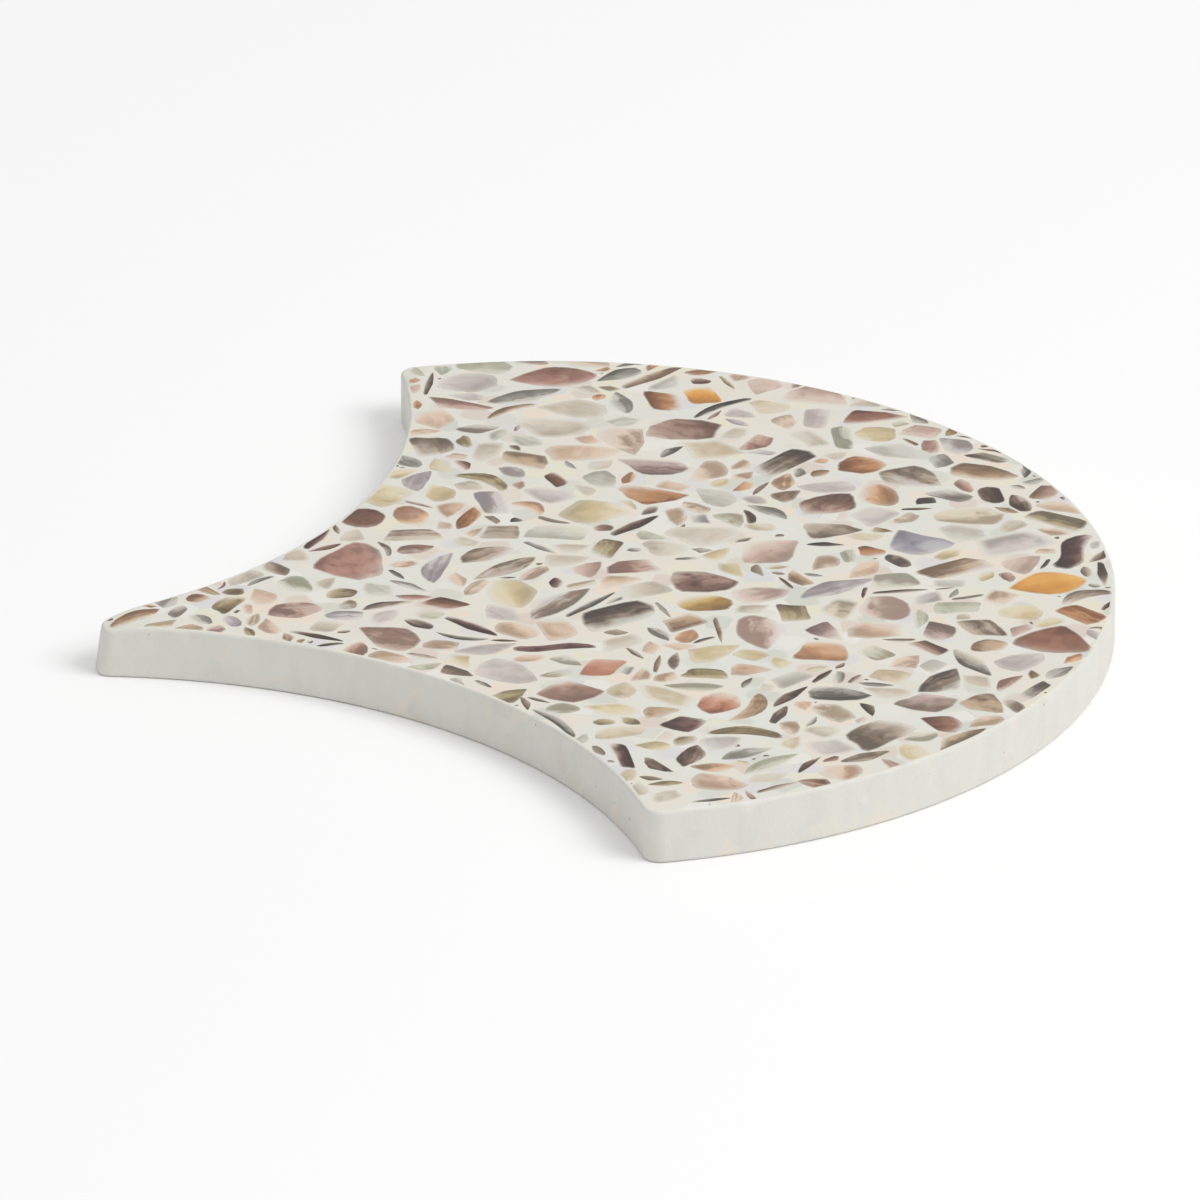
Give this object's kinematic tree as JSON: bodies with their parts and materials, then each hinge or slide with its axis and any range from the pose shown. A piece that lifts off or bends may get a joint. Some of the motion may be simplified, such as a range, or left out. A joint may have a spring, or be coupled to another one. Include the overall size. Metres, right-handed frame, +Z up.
{
  "type": "fish scale tile",
  "caption": "Fan-shaped fish scale tile of polished shell terrazzo, with a half-round head, hollow flanks that take the heads of like tiles beside it, and a blunt tip.",
  "frame": {"origin": "on the bedding face, at the centre of the half-round head", "axes": "+X across the tile, +Y from the blunt tip to the round head, +Z up from the bedding face to the polished face"},
  "size_m": [0.125, 0.1126, 0.006],
  "materials": {
    "terrazzo": "polished face, plain cast edges and back"
  },
  "bodies": {
    "root": {"fish_scale_tile": "terrazzo"}
  },
  "joints": []
}
